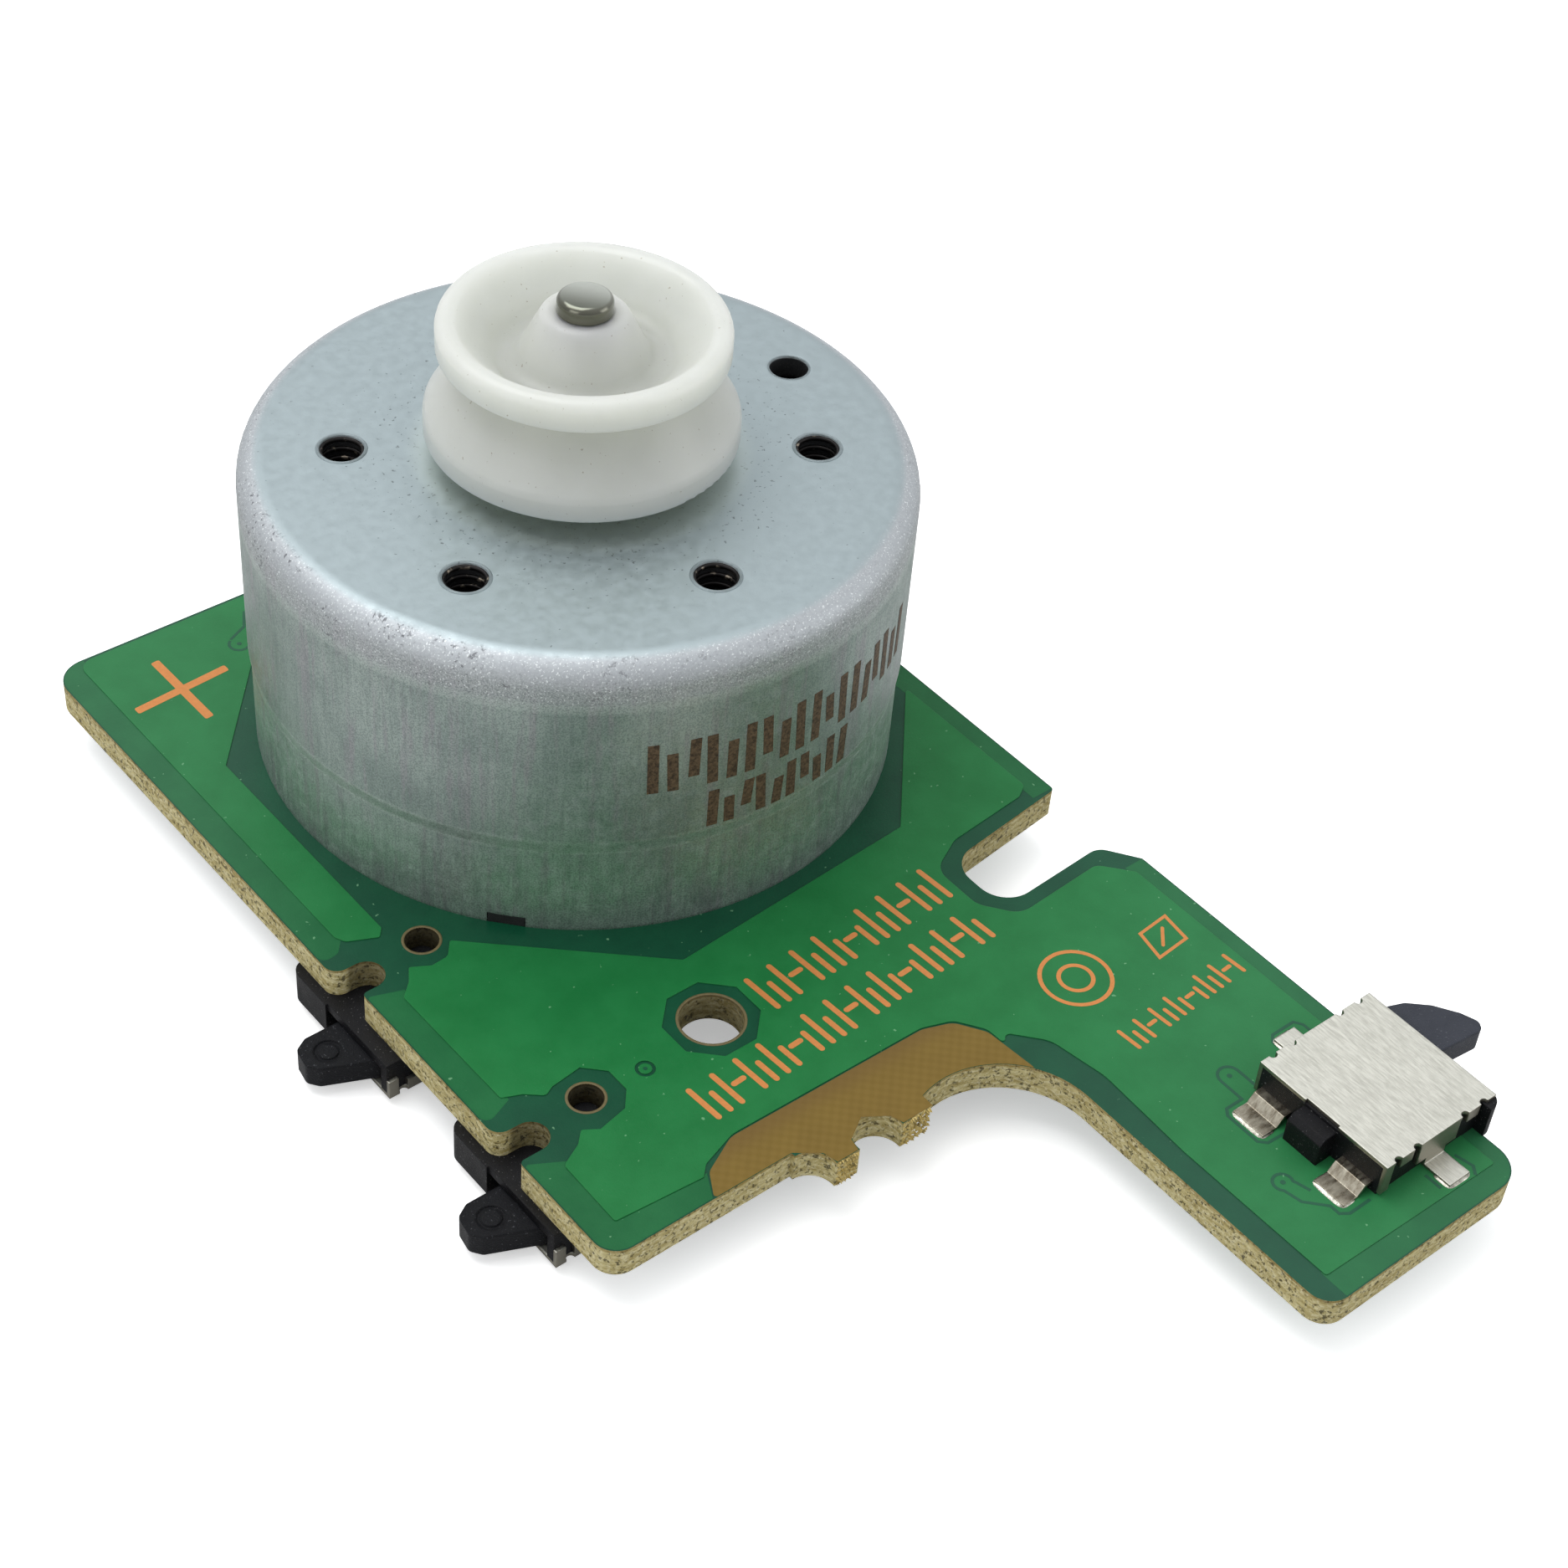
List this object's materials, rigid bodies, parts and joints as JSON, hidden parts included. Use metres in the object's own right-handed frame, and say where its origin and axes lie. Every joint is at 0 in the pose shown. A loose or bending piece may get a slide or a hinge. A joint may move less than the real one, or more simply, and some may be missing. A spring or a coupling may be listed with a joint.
{
  "type": "flat brushed motor with belt pulley on a switch board",
  "caption": "Flat brushed motor in a steel can with an ivory belt pulley, on a green circuit board with an arm, small lever detector switches and a flat cable socket",
  "frame": {"origin": "centre of the motor can's flat mounting face, on the shaft's axis", "axes": "+Z runs out along the shaft from the mounting face to the pulley; +X is across the board, to the side where the upper switch's lever points; -Y runs along the board's arm"},
  "size_m": [0.0325, 0.0505, 0.0214],
  "materials": {
    "can_steel": "zinc plated, faintly mottled, with a draw grain on the side",
    "bearing_bronze": "sintered, oil soaked",
    "magnet_ferrite": "moulded ferrite, matt",
    "black_plastic": "moulded, fine grain",
    "brush_metal": "rolled spring strip",
    "terminal_metal": "tinned",
    "shaft_steel": "ground and polished",
    "core_steel": "stacked laminations",
    "coil_copper": "enamelled wire",
    "washer_nylon": "natural nylon",
    "hub_plastic": "phenolic",
    "segment_copper": "bright copper",
    "varistor_ceramic": "fired ceramic with silvered pads",
    "pulley_ivory": "translucent ivory moulding",
    "board_green": "green solder resist over copper and brown laminate",
    "solder": "bright solder",
    "connector_ivory": "moulded, fine grain",
    "connector_dark": "moulded, fine grain",
    "contact_metal": "tinned spring strip",
    "switch_black": "moulded, fine grain",
    "cover_steel": "brushed sheet",
    "lever_grey": "moulded, satin",
    "spring_steel": "drawn wire"
  },
  "bodies": {
    "base": {"motor_can": "can_steel", "front_bearing": "bearing_bronze", "ring_magnet": "magnet_ferrite", "end_cap": "black_plastic", "rear_bearing": "bearing_bronze", "brush_left": "brush_metal", "brush_right": "brush_metal", "terminal_left": "terminal_metal", "terminal_right": "terminal_metal", "circuit_board": "board_green", "solder_joints": "solder", "connector_housing": "connector_ivory", "connector_contacts": "contact_metal", "upper_switch_housing": "switch_black", "upper_switch_contacts": "contact_metal", "upper_switch_cover": "cover_steel", "upper_switch_spring": "spring_steel", "middle_switch_housing": "switch_black", "middle_switch_contacts": "contact_metal", "middle_switch_cover": "cover_steel", "middle_switch_spring": "spring_steel", "front_switch_housing": "switch_black", "front_switch_contacts": "contact_metal", "front_switch_cover": "cover_steel", "front_switch_spring": "spring_steel"},
    "rotor": {"shaft": "shaft_steel", "armature_core": "core_steel", "armature_coils": "coil_copper", "front_washer": "washer_nylon", "spacer_sleeve": "washer_nylon", "commutator_hub": "hub_plastic", "commutator_segments": "segment_copper", "varistor_ring": "varistor_ceramic", "rear_washer": "washer_nylon", "drive_pulley": "pulley_ivory"},
    "latch": {"connector_latch": "connector_dark"},
    "upper_lever": {"upper_switch_lever": "lever_grey", "upper_switch_wiper": "contact_metal"},
    "middle_lever": {"middle_switch_lever": "lever_grey", "middle_switch_wiper": "contact_metal"},
    "front_lever": {"front_switch_lever": "lever_grey", "front_switch_wiper": "contact_metal"}
  },
  "joints": [
    {"name": "rotor_spin", "type": "hinge", "parent": "base", "child": "rotor", "pos_m": [0, 0, 0], "axis": [0, 0, 1], "continuous": true},
    {"name": "upper_lever_hinge", "type": "hinge", "parent": "base", "child": "upper_lever", "pos_m": [0.01105, -0.03165, -0.0114], "axis": [0, 0, -1], "range_deg": [0, 12], "stiffness_Nm_per_rad": 0.0015},
    {"name": "middle_lever_hinge", "type": "hinge", "parent": "base", "child": "middle_lever", "pos_m": [-0.01408, -0.0084, -0.0142], "axis": [0, 0, -1], "range_deg": [0, 12], "stiffness_Nm_per_rad": 0.0015},
    {"name": "front_lever_hinge", "type": "hinge", "parent": "base", "child": "front_lever", "pos_m": [-0.01376, -0.0177, -0.0142], "axis": [0, 0, -1], "range_deg": [0, 12], "stiffness_Nm_per_rad": 0.0015},
    {"name": "latch_hinge", "type": "hinge", "parent": "base", "child": "latch", "pos_m": [0.001, 0.01175, -0.01422], "axis": [-1, 0, 0], "range_deg": [0, 90]}
  ]
}
